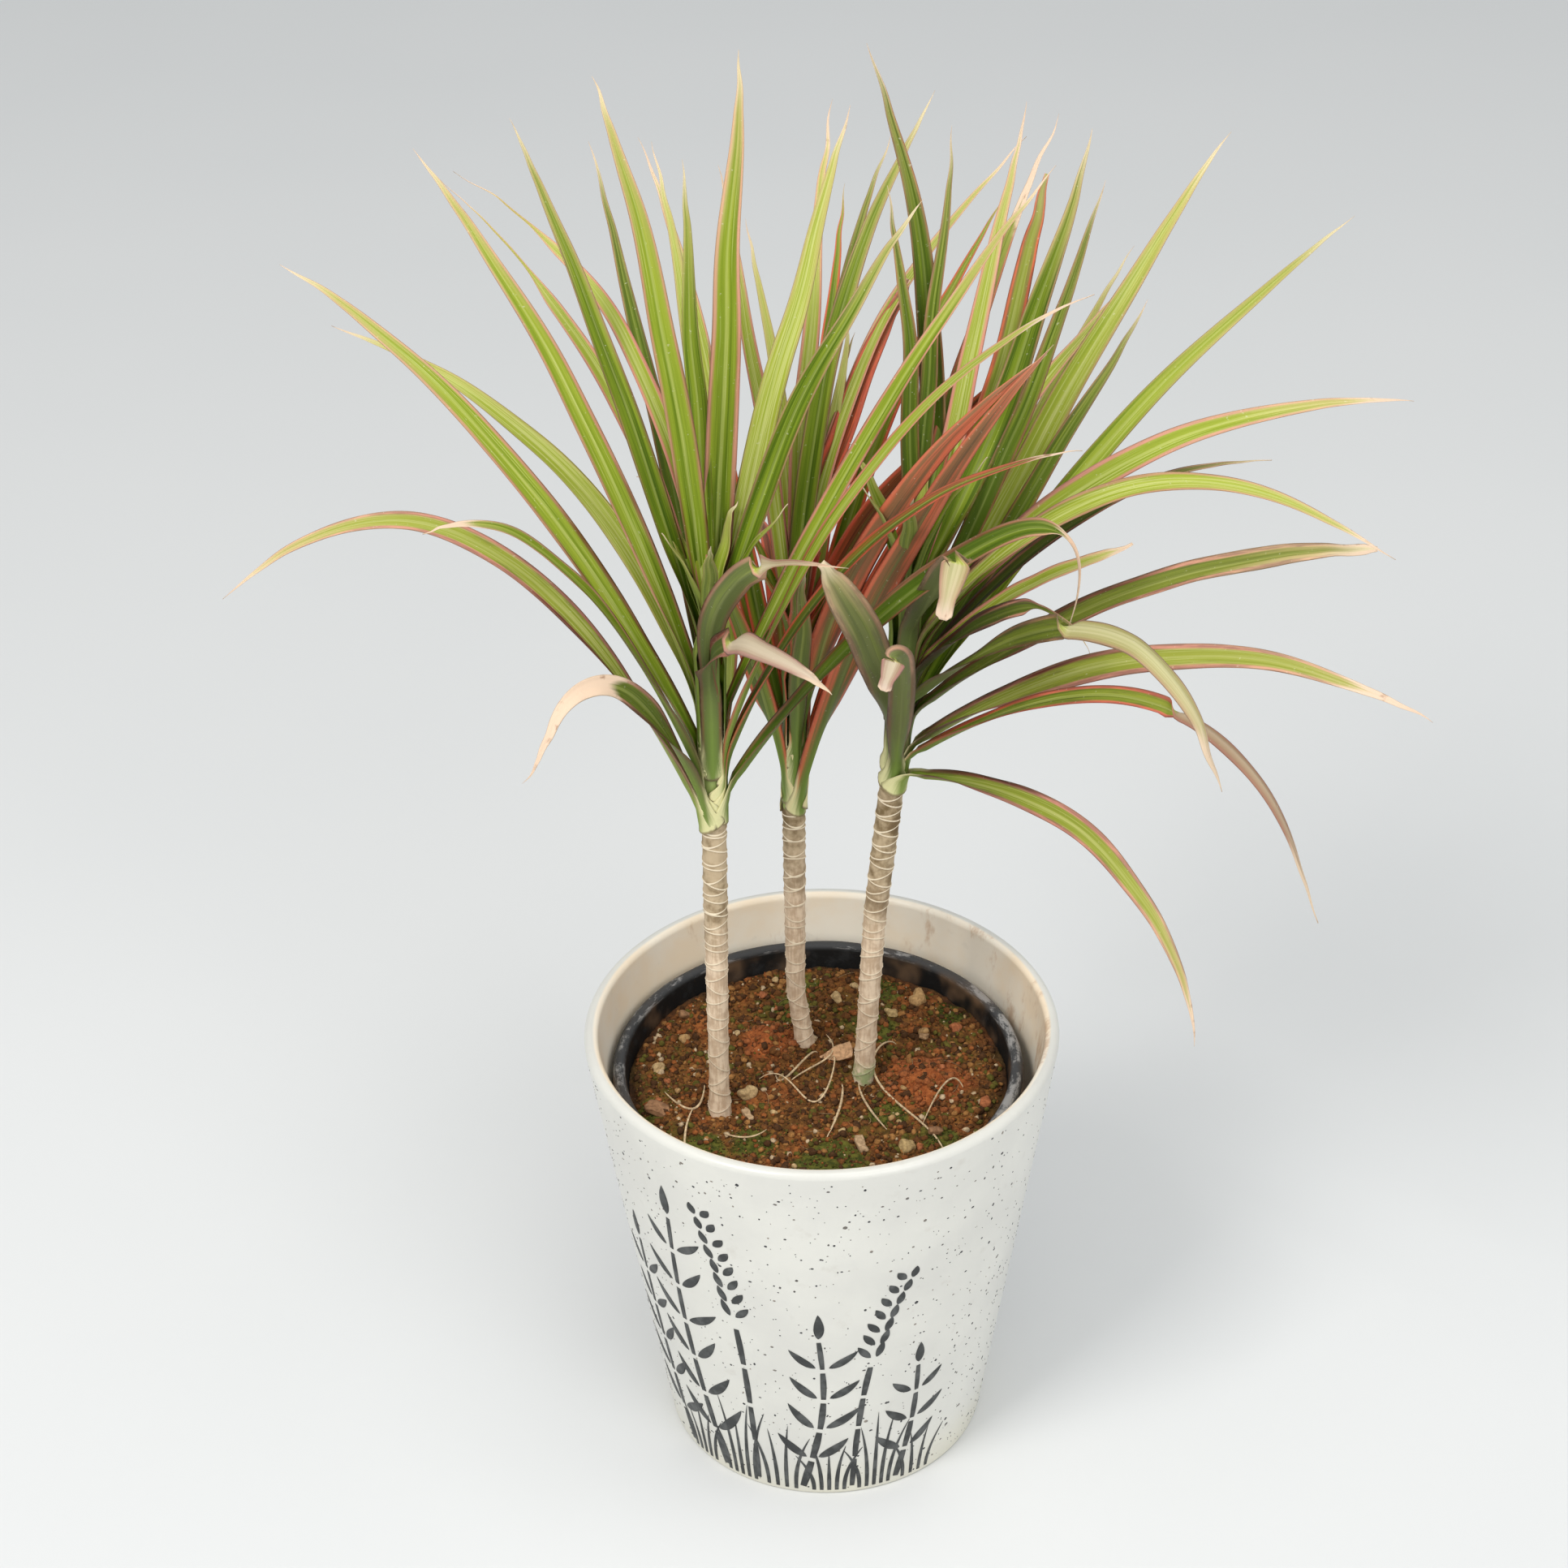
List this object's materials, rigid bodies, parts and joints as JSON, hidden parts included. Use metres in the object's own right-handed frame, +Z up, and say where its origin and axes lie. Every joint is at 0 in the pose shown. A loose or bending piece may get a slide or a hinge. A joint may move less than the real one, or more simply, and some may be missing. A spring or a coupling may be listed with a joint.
{
  "type": "potted colorama madagascar dragon tree",
  "caption": "Potted dragon tree: slender canes with crowns of striped, arching leaves, rooted in soil in a nursery pot that stands in a round tapered cover pot.",
  "frame": {"origin": "centre of the cover pot's flat foot, on the surface that it stands on", "axes": "+Z up; +X to the right along the row of canes; -Y towards the side that the picture shows"},
  "size_m": [0.4528, 0.3197, 0.6251],
  "materials": {
    "pot_glaze": "satin cream glaze with fine dark speckles and a charcoal stencil of plain plant sprigs",
    "liner_plastic": "black nursery-pot plastic with a scuffed rim",
    "soil": "crumbly red-brown potting soil",
    "cane_bark": "pale tan bark ringed with leaf scars",
    "green_leaf": "green leaves with a pale centre and pink margins",
    "red_leaf": "leaves with broad dark red margins"
  },
  "bodies": {
    "root": {"pot": "pot_glaze", "liner_pot": "liner_plastic", "soil": "soil", "cane_left": "cane_bark", "cane_middle": "cane_bark", "cane_right": "cane_bark", "heart_left": "green_leaf", "heart_middle": "red_leaf", "heart_right": "green_leaf", "leaf_left_01_base": "green_leaf", "leaf_left_01_tip": "green_leaf", "leaf_left_02": "green_leaf", "leaf_left_03": "green_leaf", "leaf_left_04": "green_leaf", "leaf_left_05": "green_leaf", "leaf_left_06": "green_leaf", "leaf_left_07": "green_leaf", "leaf_left_08": "green_leaf", "leaf_left_09": "green_leaf", "leaf_left_10": "green_leaf", "leaf_left_11": "green_leaf", "leaf_left_12": "green_leaf", "leaf_left_13": "green_leaf", "leaf_left_14": "green_leaf", "leaf_left_15": "green_leaf", "leaf_left_16": "green_leaf", "leaf_middle_01": "red_leaf", "leaf_middle_02": "red_leaf", "leaf_middle_03": "red_leaf", "leaf_middle_04": "red_leaf", "leaf_middle_05": "red_leaf", "leaf_middle_06": "red_leaf", "leaf_middle_07": "red_leaf", "leaf_right_01": "green_leaf", "leaf_right_02": "green_leaf", "leaf_right_03_base": "green_leaf", "leaf_right_03_tip": "green_leaf", "leaf_right_04": "green_leaf", "leaf_right_05": "green_leaf", "leaf_right_06": "green_leaf", "leaf_right_07": "green_leaf", "leaf_right_08": "green_leaf", "leaf_right_09": "green_leaf", "leaf_right_10": "green_leaf", "leaf_right_11": "green_leaf", "leaf_right_12": "green_leaf", "leaf_right_13": "green_leaf", "leaf_right_14": "green_leaf", "leaf_right_15": "green_leaf", "leaf_right_16": "green_leaf", "leaf_right_17": "green_leaf", "leaf_right_18": "green_leaf", "leaf_right_19": "green_leaf"}
  },
  "joints": []
}
